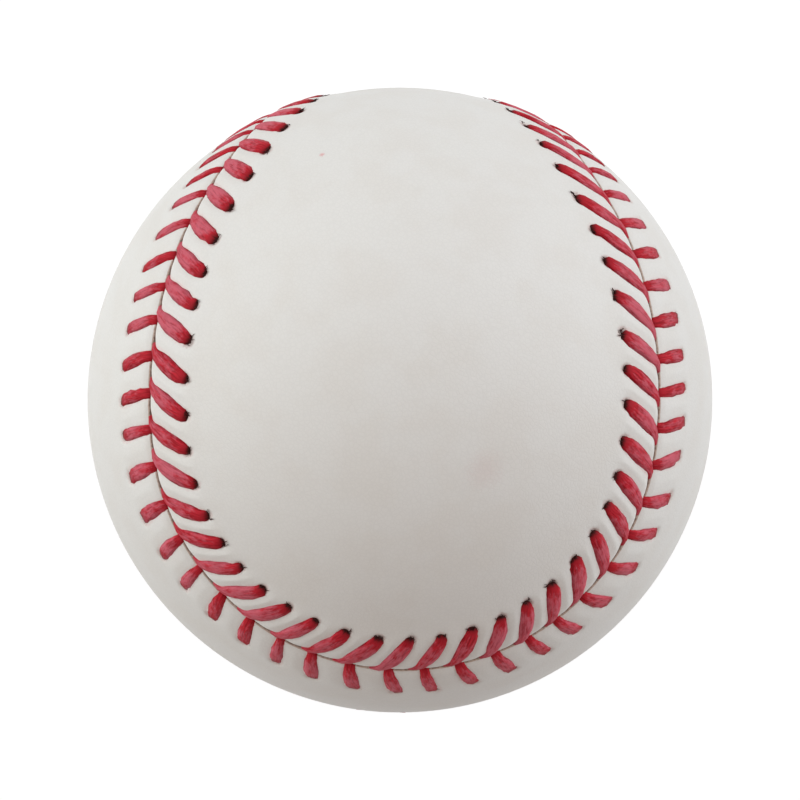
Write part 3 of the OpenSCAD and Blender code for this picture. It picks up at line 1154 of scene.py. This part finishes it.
@dataclass
class Lacing:
    """The two strands of red thread, each laced through every other hole of both panels."""

    seam: SeamPath
    first_hole: float = 1.1
    hole_trail: float = 1.45
    hole_inset: float = 5.5
    thread_t: float = 0.34
    # Half of a leg's thickness over the thread's own, as the legs are pressed flat
    flatness: float = 0.55
    under_w: float = 0.95
    under_t: float = 0.34
    under_height: float = -0.975
    around: int = 6
    under_steps: int = 4
    crown: float = 0.13
    # How soiled and shaded a leg is in the seam, and the soil and painted shade that creep up from
    # its hole
    seam_soil: float = 0.25
    hole_stain: float = 0.09
    stain_band: tuple[float, float] = (0.21, 0.09)
    # How far points are shaken, the share of it at the seam's middle, and how much more at a hole
    shake: float = 0.5
    shake_shares: tuple[float, float] = (0.4, 1.2)
    # Waves to each millimetre, and shares along the seam, across it and upward
    shake_waves: float = 1.9
    shake_ways: tuple[float, float, float] = (1.0, 1.0, 0.3)
    # Greatest swing of a leg in degrees, and its least and greatest stretch along X, Y and Z
    swing: float = 2.6
    least_stretch: tuple[float, float, float] = (0.93, 0.985, 0.97)
    most_stretch: tuple[float, float, float] = (1.06, 1.015, 1.03)
    # Loose ends at each hole: their place from it, lean in radians and share of their length
    loose_ends: int = 6
    loose_end_w: float = 0.16
    loose_end_l: float = 0.62
    loose_from: tuple[float, float, float] = (-0.55, 0.15, 0.08)
    loose_to: tuple[float, float, float] = (0.55, 0.5, 0.17)
    lean_from: tuple[float, float, float] = (-1.53, 0.0, -0.95)
    lean_to: tuple[float, float, float] = (-1.3, 0.0, 0.95)
    loose_shares: tuple[float, float] = (0.3, 1.2)
    seed: int = 11

    def legs(self, tree: ShapeTree, panel: Panel, route: LegRoute) -> Socket:
        """Lays one panel's legs of a strand out along a straight line, one to each of its holes.

        Args:
            tree: the tree under construction.
            panel: the panel that the legs lie on.
            route: the leg's route.

        Returns:
            The legs, at their places along the seam, across it and over the leather.
        """
        stations, most, title = route.stations, route.most, panel.title
        sizes = {"Side Segments": len(stations) - 1, "Radius": 1.0, "Depth": 1.0}
        leg = tree.add(TUBE, {"Vertices": self.around} | sizes)
        side, up, station = tree.add(SPLIT_XYZ, {0: tree.add(PLACE)}).node.outputs
        share = tree.add(MATH, {0: station, 1: 0.5}, operation="ADD")
        # Tables of shares from 0 to 1, read by the station that a point of the tube stands at
        read = {}
        for label, values in route.tables().items():
            read[label] = tree.add("ShaderNodeFloatCurve", {"Factor": 1.0, "Value": share})
            mapping = read[label].node.mapping
            points, last = mapping.curves[0].points, len(values) - 1
            points[0].location = (0.0, float(values[0]))
            points[-1].location = (1.0, float(values[-1]))
            for i in range(1, last):
                points.new(i / last, float(values[i]))
            for point in points:
                point.handle_type = "VECTOR"
            mapping.update()
        creep = {"Value": read["reach"], "From Min": self.stain_band[0]}
        creep |= {"From Max": self.stain_band[1], "To Max": self.hole_stain}
        least, greatest = route.rubbed
        spared = {"Value": read["reach"], "From Min": greatest, "From Max": least}
        rows = [
            ("heading", "MULTIPLY", "head", math.pi),
            ("climb", "MULTIPLY_ADD", "climb", math.pi, -math.pi / 2),
            ("across", "COSINE", "heading"),
            ("along", "SINE", "heading"),
            ("level", "COSINE", "climb"),
            ("steep", "SINE", "climb"),
            ("lateral", "MULTIPLY", "wide", f"{title} Leg Width"),
            ("lateral", "MULTIPLY", "lateral", "side"),
            ("lateral", "MULTIPLY", "lateral", 0.5),
            ("thick", "MULTIPLY", "up", "Thread Thickness"),
            ("thick", "MULTIPLY", "thick", self.flatness),
            ("leaned", "MULTIPLY", "thick", "steep"),
            ("x", "MULTIPLY", "back", f"{title} Sweep"),
            ("x", "MULTIPLY", "x", -1.0),
            ("x", "MULTIPLY_ADD", "lateral", "across", "x"),
            ("x", "MULTIPLY_ADD", "leaned", "along", "x"),
            ("y", "MULTIPLY", "over", f"{title} Span"),
            ("y", "MULTIPLY_ADD", "leaned", "across", "y"),
            ("turned", "MULTIPLY", "lateral", "along"),
            ("y", "SUBTRACT", "y", "turned"),
            # The strand's edges lie down on the leather, its middle stands up as a low crown
            ("tall", "SUBTRACT", f"{title} Height", "Under Height"),
            ("z", "MULTIPLY_ADD", "lift", "tall", "Under Height"),
            ("z", "MULTIPLY_ADD", "thick", "level", "z"),
            ("bend", "MULTIPLY", "side", "side"),
            ("bend", "MULTIPLY", "bend", "Crown"),
            ("z", "SUBTRACT", "z", "bend"),
            ("lateral_mm", "MULTIPLY", "side", most[3] / 2),
            ("length_mm", "MULTIPLY", "reach", float(route.reach[-1])),
            # The end in the hole is soiled and painted with shade, the end in the seam is hardly so
            ("dive", "SUBTRACT", 1.0, "lift"),
            ("soiled", "LESS_THAN", "reach", 0.5),
            ("soiled", "MULTIPLY_ADD", "soiled", 1 - self.seam_soil, self.seam_soil),
            ("dive", "MULTIPLY", "dive", "soiled"),
            ("dive", "ADD", "dive", tree.add(RANGE, creep)),
        ]
        made = tree.steps(MATH, rows, side=side, up=up, **read)
        fibre = tree.add(JOIN_XYZ, {0: made["lateral_mm"], 1: made["length_mm"], 2: up})
        marks = (
            ("fibre", fibre, "FLOAT_VECTOR"),
            ("dive", made["dive"], "FLOAT"),
            ("fresh", tree.add(RANGE, spared), "FLOAT"),
        )
        for name, value, kind in marks:
            leg = tree.add(STORE, {"Geometry": leg, "Name": name, "Value": value}, data_type=kind)
        place = tree.add(JOIN_XYZ, {0: made["x"], 1: made["y"], 2: made["z"]})
        leg = tree.add(MOVE, {"Geometry": leg, "Position": place})
        # Each leg is turned and stretched a little by chance
        side = panel.value
        low, high = self.least_stretch, self.most_stretch
        over = sorted((side * low[1], side * high[1]))
        swing = math.radians(self.swing)
        chances = {
            "Rotation": ((0.0, 0.0, -swing), (0.0, 0.0, swing)),
            "Scale": ((low[0], over[0], low[2]), (high[0], over[1], high[2])),
        }
        return self.along_holes(tree, panel, leg, chances)

    def unders(self, tree: ShapeTree, panel: Panel) -> Socket:
        """Lays the hidden runs from one panel's legs to the next holes on the other panel.

        Args:
            tree: the tree under construction.
            panel: the panel whose legs they follow.

        Returns:
            The runs, laid out as the legs are.
        """
        sizes = {"Side Segments": self.under_steps, "Radius": 1.0, "Depth": 1.0}
        run = tree.add(TUBE, {"Vertices": self.around} | sizes)
        side, up, station = tree.add(SPLIT_XYZ, {0: tree.add(PLACE)}).node.outputs
        sweep = f"{panel.title} Sweep"
        rows = [
            ("share", "ADD", station, 0.5),
            ("run", "ADD", f"{panel.title} Reach", sweep),
            ("x", "MULTIPLY", "share", "run"),
            ("x", "SUBTRACT", "x", sweep),
            ("x", "MULTIPLY_ADD", side, self.under_w / 2 * MM, "x"),
            ("y", "MULTIPLY", "share", "Hole Inset"),
            ("y", "MULTIPLY", "y", -1.0),
            ("z", "MULTIPLY_ADD", up, self.under_t / 2 * MM, "Under Height"),
        ]
        made = tree.steps(MATH, rows)
        place = tree.add(JOIN_XYZ, {0: made["x"], 1: made["y"], 2: made["z"]})
        # The hidden runs take the darkest colour, of soil and painted shade
        run = tree.add(STORE, {"Geometry": run, "Name": "dive", "Value": 1.0}, data_type="FLOAT")
        run = tree.add(MOVE, {"Geometry": run, "Position": place})
        return self.along_holes(tree, panel, run, {})

    def ends(self, tree: ShapeTree) -> Socket:
        """Scatters short stiff fibres round a strand's holes in the first panel.

        Args:
            tree: the tree under construction.

        Returns:
            The fibres, at their places along the seam, across it and over the leather.
        """
        sizes = {"Radius Bottom": self.loose_end_w * MM / 2, "Radius Top": 0.0, "Depth": 1.0}
        hair = tree.add("GeometryNodeMeshCone", {"Vertices": 3, "Side Segments": 2} | sizes)
        # The loose fibres take the darkest colour, that of the soiled and shaded ends
        hair = tree.add(STORE, {"Geometry": hair, "Name": "dive", "Value": 1.0}, data_type="FLOAT")
        rows = [
            ("number", "DIVIDE", tree.add("GeometryNodeInputIndex"), float(self.loose_ends)),
            ("number", "FLOOR", "number"),
            ("number", "MULTIPLY_ADD", "number", 2.0, "First Start"),
            ("x", "MULTIPLY_ADD", "number", "Pitch", "First Hole"),
        ]
        seed = tree.given["Seed"]
        spread, lean = (
            tree.add(CHANCE, {"Min": low, "Max": high, "Seed": seed}, data_type="FLOAT_VECTOR")
            for low, high in (
                (tuple(v * MM for v in self.loose_from), tuple(v * MM for v in self.loose_to)),
                (self.lean_from, self.lean_to),
            )
        )
        low, high = self.loose_shares
        length = {"Min_001": low, "Max_001": high, "Seed": seed}
        length = tree.add(CHANCE, length, output=1, data_type="FLOAT")
        rows.append(("long", "MULTIPLY", length, "Loose End Length"))
        made = tree.steps(MATH, rows)
        hole = tree.add(JOIN_XYZ, {0: made["x"], 1: tree.given["Hole Inset"]})
        place = tree.add(VECTOR, {0: hole, 1: spread}, operation="ADD")
        count = self.seam.stitches // 2 * self.loose_ends
        points = tree.add("GeometryNodePoints", {"Count": count, "Position": place})
        size = tree.add(JOIN_XYZ, {0: 1.0, 1: 1.0, 2: made["long"]})
        terms = {"Points": points, "Instance": hair, "Rotation": lean, "Scale": size}
        return tree.add(SET_OUT, terms)

    def along_holes(
        self, tree: ShapeTree, panel: Panel, shape: Socket, chances: dict[str, tuple]
    ) -> Socket:
        """Sets a shape at each of a strand's holes in one panel.

        Args:
            tree: the tree under construction.
            panel: the panel with the holes.
            shape: what to set there.
            chances: least and greatest value of what varies by chance, by the input's name.

        Returns:
            The shapes.
        """
        title, side = panel.title, float(panel.value)
        rows = [
            ("step", "MULTIPLY", "Pitch", 2.0),
            ("start", "MULTIPLY_ADD", f"{title} Start", "Pitch", f"{title} Hole"),
            ("seed", "ADD", "Seed", side),
        ]
        made = tree.steps(MATH, rows)
        spaced = {
            "Count": self.seam.stitches // 2,
            "Start Location": tree.add(JOIN_XYZ, {0: made["start"]}),
            "Offset": tree.add(JOIN_XYZ, {0: made["step"]}),
        }
        holes = tree.add("GeometryNodeMeshLine", spaced, mode="OFFSET")
        terms = {"Points": holes, "Instance": shape, "Scale": (1.0, side, 1.0)}
        for name, (low, high) in chances.items():
            span = {"Min": low, "Max": high, "Seed": made["seed"]}
            terms[name] = tree.add(CHANCE, span, data_type="FLOAT_VECTOR")
        span = {"Min_001": 0.0, "Max_001": 1.0, "Seed": made["seed"]}
        tone = tree.add(CHANCE, span, output=1, data_type="FLOAT")
        terms = {"Geometry": tree.add(SET_OUT, terms), "Name": "tone", "Value": tone}
        return tree.add(STORE, terms, data_type="FLOAT", domain="INSTANCE")

    def shaken(self, tree: ShapeTree, strand: Socket) -> Socket:
        """Frays a strand's edges: each point is shaken a little along and across the seam.

        Args:
            tree: the tree under construction.
            strand: the strand, laid out straight.

        Returns:
            The strand with frayed edges.
        """
        place = tree.add(PLACE)
        waves = {"Vector": place, "Scale": self.shake_waves / MM, "Detail": 2.0}
        rows = [
            ("rough", "SUBTRACT", tree.add(NOISE, waves, output=1), (0.5, 0.5, 0.5)),
            ("rough", "MULTIPLY", "rough", self.shake_ways),
        ]
        rough = tree.steps(VECTOR, rows)["rough"]
        least, more = self.shake_shares
        rows = [
            ("near", "DIVIDE", tree.add(SPLIT_XYZ, {0: place}, output=1), "Hole Inset"),
            ("near", "ABSOLUTE", "near"),
            ("near", "MULTIPLY_ADD", "near", more, least),
            ("near", "MULTIPLY", "near", "Shake"),
        ]
        near = tree.steps(MATH, rows)["near"]
        offset = tree.add(VECTOR, {0: rough, "Scale": near}, operation="SCALE")
        return tree.add(MOVE, {"Geometry": strand, "Offset": offset})

    def wrapped(self, tree: ShapeTree, strand: Socket) -> Socket:
        """Wraps a strand that is laid out straight along the seam.

        Args:
            tree: the tree under construction.
            strand: the strand.

        Returns:
            The strand on the ball.
        """
        seam = self.seam
        along, across, height = tree.add(SPLIT_XYZ, {0: tree.add(PLACE)}).node.outputs
        rows = [("even", "DIVIDE", along, "Seam Length"), ("share", "ADD", "even", 0.0)]
        for size, cycles, start in seam.wander:
            rows += [
                ("wave", "MULTIPLY_ADD", "even", math.tau * cycles, start),
                ("wave", "SINE", "wave"),
                ("share", "MULTIPLY_ADD", "wave", size / seam.length, "share"),
            ]
        rows += [
            ("share", "FRACT", "share"),
            ("angle", "DIVIDE", across, "Ball Radius"),
            ("radius", "ADD", "Ball Radius", height),
            ("cosine", "COSINE", "angle"),
            ("sine", "SINE", "angle"),
        ]
        made = tree.steps(MATH, rows)
        line = tree.add("GeometryNodeObjectInfo", {"Object": tree.given["Seam"]}, output=4)
        followed = {"Curves": line, "Factor": made["share"]}
        sampled = tree.add("GeometryNodeSampleCurve", followed, mode="FACTOR")
        _, found, forward, _ = sampled.node.outputs
        rows = [
            ("out", "NORMALIZE", found),
            ("forward", "NORMALIZE", forward),
            ("inward", "CROSS_PRODUCT", "out", "forward"),
        ]
        ways = tree.steps(VECTOR, rows)
        up = tree.add(VECTOR, {0: ways["out"], "Scale": made["cosine"]}, operation="SCALE")
        over = tree.add(VECTOR, {0: ways["inward"], "Scale": made["sine"]}, operation="SCALE")
        place = tree.add(VECTOR, {0: up, 1: over}, operation="ADD")
        place = tree.add(VECTOR, {0: place, "Scale": made["radius"]}, operation="SCALE")
        return tree.add(MOVE, {"Geometry": strand, "Position": place})

    def tree(self, material: bpy.types.Material) -> ShapeTree:
        """Builds the tree that lays a strand out straight and wraps it along the seam.

        Args:
            material: the thread.

        Returns:
            The tree, whose inputs are the strand's sizes and the panels that it starts on.
        """
        seam = self.seam
        values = {
            "Seam": seam.line,
            "Ball Radius": seam.ball_r,
            "Seam Length": float(seam.length),
            "Pitch": float(seam.pitch),
            "Hole Inset": self.hole_inset,
            "Thread Thickness": self.thread_t,
            "Crown": self.crown,
            "Shake": self.shake,
            "Loose End Length": self.loose_end_l,
            "Under Height": self.under_height,
            "Seed": self.seed,
            "Material": material,
        }
        panels = (
            (Panel.FIRST, FIRST_LEG, 0, self.first_hole, -self.hole_trail),
            (Panel.SECOND, SECOND_LEG, 1, self.first_hole - self.hole_trail, self.hole_trail),
        )
        for panel, route, start, hole, trail in panels:
            sweep, span, height, width = route.most
            values |= {
                f"{panel.title} Start": start,
                f"{panel.title} Hole": hole,
                f"{panel.title} Reach": float(seam.pitch) + trail,
                f"{panel.title} Sweep": sweep,
                f"{panel.title} Span": span,
                f"{panel.title} Height": height,
                f"{panel.title} Leg Width": width,
            }
        tree = ShapeTree("laced_strand", values)
        parts = [self.legs(tree, panel, route) for panel, route, *_ in panels]
        parts += [self.unders(tree, panel) for panel, *_ in panels]
        strand = tree.add(JOIN, {0: [*parts, self.ends(tree)]})
        strand = tree.add(REALIZE, {"Geometry": strand})
        tree.finish(self.wrapped(tree, self.shaken(tree, strand)))
        return tree

    def build(self, material: bpy.types.Material) -> list[bpy.types.Object]:
        """Builds both strands.

        Args:
            material: the thread.

        Returns:
            The two finished pieces.
        """
        tree, made = self.tree(material), []
        for number, panel in enumerate(Panel):
            starts = {"First Start": number, "Second Start": 1 - number}
            starts["Seed"] = self.seed + 10 * number
            name = f"stitch_thread_{panel.name.lower()}_strand"
            made.append(tree.grown(name, keep=THREAD_MARKS, changed=starts))
        return made


@dataclass
class Winding:
    """A layer of yarn: one strand wound round the ball, each turn laid a little across the last."""

    node: str
    slot: str
    outer_r: float
    inner_r: float
    yarn_d: float
    turns: int
    fibre: Fibre
    seed: int
    turn_points: int = 44
    # How far the ball is turned about X, Y and Z for each turn of the yarn
    paces: tuple[float, float, float] = (0.0277, 0.0171, 0.0053)
    # Depth of the yarn's middle and of the plain body under it, as shares of the yarn's diameter
    sunk: float = 0.6
    body: float = 0.75

    def tree(self, material: bpy.types.Material) -> ShapeTree:
        """Builds the tree that winds the yarn.

        Args:
            material: the yarn.

        Returns:
            The tree, whose inputs are the layer's radii, the yarn's diameter and its turns.
        """
        tree = ShapeTree(
            self.node + "_turns",
            {
                "Outer Radius": self.outer_r,
                "Inner Radius": self.inner_r,
                "Yarn Diameter": self.yarn_d,
                "Turns": self.turns,
                "Seed": self.seed,
                "Material": material,
            },
        )
        share = tree.add("GeometryNodeSplineParameter")
        rows = [
            ("middle", "MULTIPLY_ADD", "Yarn Diameter", -self.sunk, "Outer Radius"),
            ("below", "MULTIPLY_ADD", "Yarn Diameter", -self.body, "Outer Radius"),
            ("half", "MULTIPLY", "Yarn Diameter", 0.5),
            ("count", "MULTIPLY", "Turns", float(self.turn_points)),
            ("wound", "MULTIPLY", share, math.tau),
            ("wound", "MULTIPLY", "wound", "Turns"),
            ("across", "COSINE", "wound"),
            ("along", "SINE", "wound"),
            *(("XYZ"[i], "MULTIPLY_ADD", "wound", self.paces[i], "Seed") for i in range(3)),
        ]
        made = tree.steps(MATH, rows)
        line = tree.add("GeometryNodeCurvePrimitiveLine")
        line = tree.add("GeometryNodeResampleCurve", {"Curve": line, "Count": made["count"]})
        place = tree.add(JOIN_XYZ, {0: made["across"], 1: made["along"]})
        place = tree.add(VECTOR, {0: place, "Scale": made["middle"]}, operation="SCALE")
        # The ball is turned a little between one lap and the next, about its three axes
        for name, axis in (("X", (1.0, 0.0, 0.0)), ("Y", (0.0, 1.0, 0.0)), ("Z", (0.0, 0.0, 1.0))):
            turned = {"Vector": place, "Axis": axis, "Angle": made[name]}
            place = tree.add("ShaderNodeVectorRotate", turned)
        laid = tree.add(MOVE, {"Geometry": line, "Position": place})
        profile = {"Resolution": 4, "Radius": made["half"]}
        profile = tree.add("GeometryNodeCurvePrimitiveCircle", profile, mode="RADIUS")
        yarn = tree.add("GeometryNodeCurveToMesh", {"Curve": laid, "Profile Curve": profile})
        body = tree.add(BALL, {"Radius": made["below"], "Subdivisions": 5})
        hollow = tree.add(BALL, {"Radius": tree.given["Inner Radius"], "Subdivisions": 4})
        tree.finish(tree.add(JOIN, {0: [yarn, body, hollow]}))
        return tree

    def build(self) -> bpy.types.Object:
        """Builds the winding."""
        return self.tree(self.fibre.build()).grown(self.node + "_yarn")


@dataclass(frozen=True)
class Lamp:
    """A square soft lamp: its direction as the camera sees it, its level and its colour."""

    name: str
    right: float
    up: float
    toward: float
    level: float
    colour: str
    distance: float = 1.2
    size: float = 1.2


@dataclass
class Studio:
    """The camera at the photograph's angle, soft lights and a plain white floor."""

    distance: float = 194.9
    focal_px: float = 1608.0
    image_px: float = 800.0
    camera_right: tuple[float, float, float] = (0.9995159, 0.0144640, 0.0275445)
    toward: tuple[float, float, float] = (-0.0214640, -0.3203077, 0.9470704)
    floor_z: float = -37.175
    floor_half: float = 0.9
    floor_paint: str = "#BABABA"
    sky: str = "#FFE7DA"
    sky_level: float = 0.334
    white_level: float = 0.92
    shadow_share: float = 0.14
    lamps: tuple[Lamp, ...] = (
        Lamp("over_left_lamp", -0.604, 0.588, 0.537, 0.505, "#EDF9FF"),
        Lamp("left_lamp", -0.995, 0.008, 0.1, 0.717, "#FAFFFC"),
        Lamp("over_right_lamp", 0.84, 0.372, 0.395, 0.785, "#F1FAFF"),
    )

    @cached_property
    def axes(self) -> np.ndarray:
        """The camera's right, up and backward directions, a row for each."""
        toward = np.array(self.toward) / np.linalg.norm(self.toward)
        up = np.cross(toward, self.camera_right)
        up /= np.linalg.norm(up)
        return np.stack([np.cross(up, toward), up, toward])

    def hang(
        self, data: bpy.types.ID, name: str, axes: np.ndarray, distance: float
    ) -> bpy.types.Object:
        """Sets a camera or a lamp so that it faces the ball.

        Args:
            data: the camera's or the lamp's settings.
            name: name of the object.
            axes: its right, up and backward directions, a row for each.
            distance: its distance from the ball's centre in metres.

        Returns:
            The object.
        """
        made = bpy.data.objects.new(name, data)
        turn = Matrix(axes.T.tolist()).to_4x4()
        made.matrix_world = Matrix.Translation(axes[2] * distance) @ turn
        bpy.context.scene.collection.objects.link(made)
        return made

    def camera(self) -> None:
        """Makes the camera."""
        data = bpy.data.cameras.new("camera")
        data.lens = self.focal_px / self.image_px * data.sensor_width
        data.clip_start, data.clip_end = 0.01, 20
        bpy.context.scene.camera = self.hang(data, "camera", self.axes, self.distance * MM)

    def light(self, lamp: Lamp) -> None:
        """Hangs a lamp, whose power gives its level on a surface that faces it."""
        data = bpy.data.lights.new(lamp.name, "AREA")
        data.size = lamp.size
        data.energy = lamp.level * math.pi**2 * lamp.distance**2
        data.color = linear(lamp.colour)[:3]
        away = np.array([lamp.right, lamp.up, lamp.toward]) @ self.axes
        away /= np.linalg.norm(away)
        side = np.cross([0.0, 0.0, 1.0], away)
        side /= np.linalg.norm(side)
        self.hang(data, lamp.name, np.stack([side, np.cross(away, side), away]), lamp.distance)

    def shown(self, g: Graph) -> Socket:
        """Adds the share of rays that show a white ground: seen, mirrored and let through."""
        seen = g.add("ShaderNodeLightPath")
        path = seen.node.outputs
        for name in ("Is Glossy Ray", "Is Transmission Ray"):
            seen = g.add(MATH, {0: seen, 1: path[name]}, operation="MAXIMUM")
        return seen

    def world(self) -> None:
        """Lights the scene evenly from all round, with white behind it for the camera."""
        world = bpy.data.worlds.new("studio")
        bpy.context.scene.world = world
        world.use_nodes = True
        g = Graph(world.node_tree)
        soft, white = (
            g.add("ShaderNodeBackground", {"Color": colour, "Strength": level})
            for colour, level in ((linear(self.sky), self.sky_level), (WHITE, 1.0))
        )
        mixed = g.add("ShaderNodeMixShader", {0: self.shown(g), 1: soft, 2: white})
        g.add("ShaderNodeOutputWorld", {"Surface": mixed})

    def floor(self) -> None:
        """Lays the floor, which the camera sees as white with the ball's faint shadow on it."""
        mesh = bpy.data.meshes.new("floor")
        corners = np.array([(-1, -1, 0), (1, -1, 0), (1, 1, 0), (-1, 1, 0)]) * self.floor_half
        corners[:, 2] = self.floor_z * MM
        mesh.from_pydata(corners.tolist(), [], [(0, 1, 2, 3)])
        floor = bpy.data.objects.new("floor", mesh)
        bpy.context.scene.collection.objects.link(floor)
        g = Skin("matt_painted_floor")
        shown = self.shown(g)
        dim = (self.shadow_share,) * 3 + (1.0,)
        paint, shadow = (
            g.add("ShaderNodeBsdfDiffuse", {"Color": colour})
            for colour in (linear(self.floor_paint), dim)
        )
        glow = g.add("ShaderNodeEmission", {"Color": WHITE, "Strength": self.white_level})
        white = g.add("ShaderNodeAddShader", {0: glow, 1: shadow})
        mixed = g.add("ShaderNodeMixShader", {0: shown, 1: paint, 2: white})
        # Seen from below the floor is clear
        clear = g.add("ShaderNodeBsdfTransparent")
        behind = g.add("ShaderNodeNewGeometry", output=6)
        surface = g.add("ShaderNodeMixShader", {0: behind, 1: mixed, 2: clear})
        g.add("ShaderNodeOutputMaterial", {"Surface": surface})
        mesh.materials.append(g.material)

    def build(self) -> None:
        """Sets the scene up."""
        self.camera()
        self.world()
        for lamp in self.lamps:
            self.light(lamp)
        self.floor()
        bpy.context.scene.view_settings.view_transform = "Standard"


@dataclass
class Baseball:
    """The whole ball, from its cork core to its cover."""

    seam: SeamPath = field(default_factory=SeamPath)

    def settle(self, piece: bpy.types.Object, slot: str, *nodes: str) -> None:
        """Lets a finished piece stand for its CAD nodes and reports it.

        Args:
            piece: the finished piece.
            slot: the record's material slot; not used.
            *nodes: the nodes that it stands for.
        """
        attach(piece, "root")
        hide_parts(*nodes)
        triangles = sum(len(p.vertices) - 2 for p in piece.data.polygons)
        log.info("%s: %d triangles", piece.name, triangles)

    def cover(self) -> None:
        """Builds the two leather panels and the two strands of thread."""
        leather, lacing = Leather().build(), Lacing(self.seam)
        first = CoverPanel(Panel.FIRST, self.seam, FIRST_LEG, lacing.first_hole)
        # The second panel is drawn flatter, with fainter rims and painted hole shade, and no tail
        # lies on its edge
        second = CoverPanel(
            Panel.SECOND,
            self.seam,
            SECOND_LEG,
            lacing.first_hole - lacing.hole_trail,
            rise=0.1,
            puff=0.09,
            press=0.08,
            funnel=0.1,
            stain_gap=0.1,
            tail_gap=0.0,
        )
        for panel in (first, second):
            self.settle(panel.build(leather), "leather", panel.name)
        for piece in lacing.build(WaxedThread().build()):
            self.settle(piece, "red_thread", piece.name.removesuffix("_strand"))
        bpy.data.objects.remove(self.seam.line)

    def windings(self) -> None:
        """Builds the four layers of yarn."""
        # Wool spun from mixed grey fleece: soft, matt and mottled as light and dark hairs lie mixed
        grey = Fibre("spun_grey_wool", "#55565A", "#8B8A88", 0.5)
        # Wool spun from undyed fleece: the same soft hairs, cream with pale flecks
        white = Fibre("spun_white_wool", "#CFC8B8", "#ECE7DB", 0.45)
        # Cotton spun fine and hard: smoother and whiter, its twist a tight fine grain
        cotton = Fibre("spun_white_cotton", "#D9D5CB", "#F1EEE6", 0.25)
        layers = (
            Winding("first_grey_wool_winding", "grey_wool", 31.335, 17.45, 1.5, 110, grey, 1),
            Winding("white_wool_winding", "white_wool", 33.095, 31.335, 1.2, 130, white, 2),
            Winding("second_grey_wool_winding", "grey_wool", 35.375, 33.095, 1.2, 140, grey, 3),
            Winding("white_cotton_winding", "white_cotton", 35.875, 35.375, 0.42, 240, cotton, 4),
        )
        for layer in layers:
            self.settle(layer.build(), layer.slot, layer.node)

    def centre(self) -> None:
        """Gives the cork, the rubber and the adhesive their finishes."""
        # Cork granules pressed with rubber: warm brown, speckled dark where the bark shows, dry
        cork = Moulded("ground_cork_bound_with_rubber", "#B98A5A", "#6B4325", 1.4, 0.85, 0.35)
        # Rubber with carbon black, pressed in a matt mould: near black with a low even shine
        black = Moulded("moulded_black_rubber", "#1B1B1C", "#2E2D2D", 0.9, 0.6)
        # The same rubber coloured with iron oxide: brick red, cloudy where the oxide is uneven
        red = Moulded("moulded_red_rubber", "#8E2A20", "#6E1B15", 1.1, 0.65)
        # Latex brushed on and left to dry: yellowish, glossier, uneven in broad patches
        latex = Moulded("brushed_on_latex", "#D9CFB2", "#C4B791", 2.4, 0.4)
        finishes = {
            cork: ("cork_core",),
            black: ("black_rubber_shell_upper", "black_rubber_shell_lower"),
            red: ("red_rubber_washer", "red_rubber_jacket"),
            latex: ("latex_adhesive_coat",),
        }
        for finish, nodes in finishes.items():
            material = finish.build()
            for node in nodes:
                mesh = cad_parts[node].data
                mesh.materials.clear()
                mesh.materials.append(material)
                log.info("%s: %s", node, finish.name)


def main() -> None:
    """Builds the scene."""
    logging.basicConfig(level=logging.INFO, format="%(message)s")
    ball = Baseball()
    ball.cover()
    ball.windings()
    ball.centre()
    Studio().build()
    bpy.context.view_layer.update()


if __name__ == "__main__":
    main()
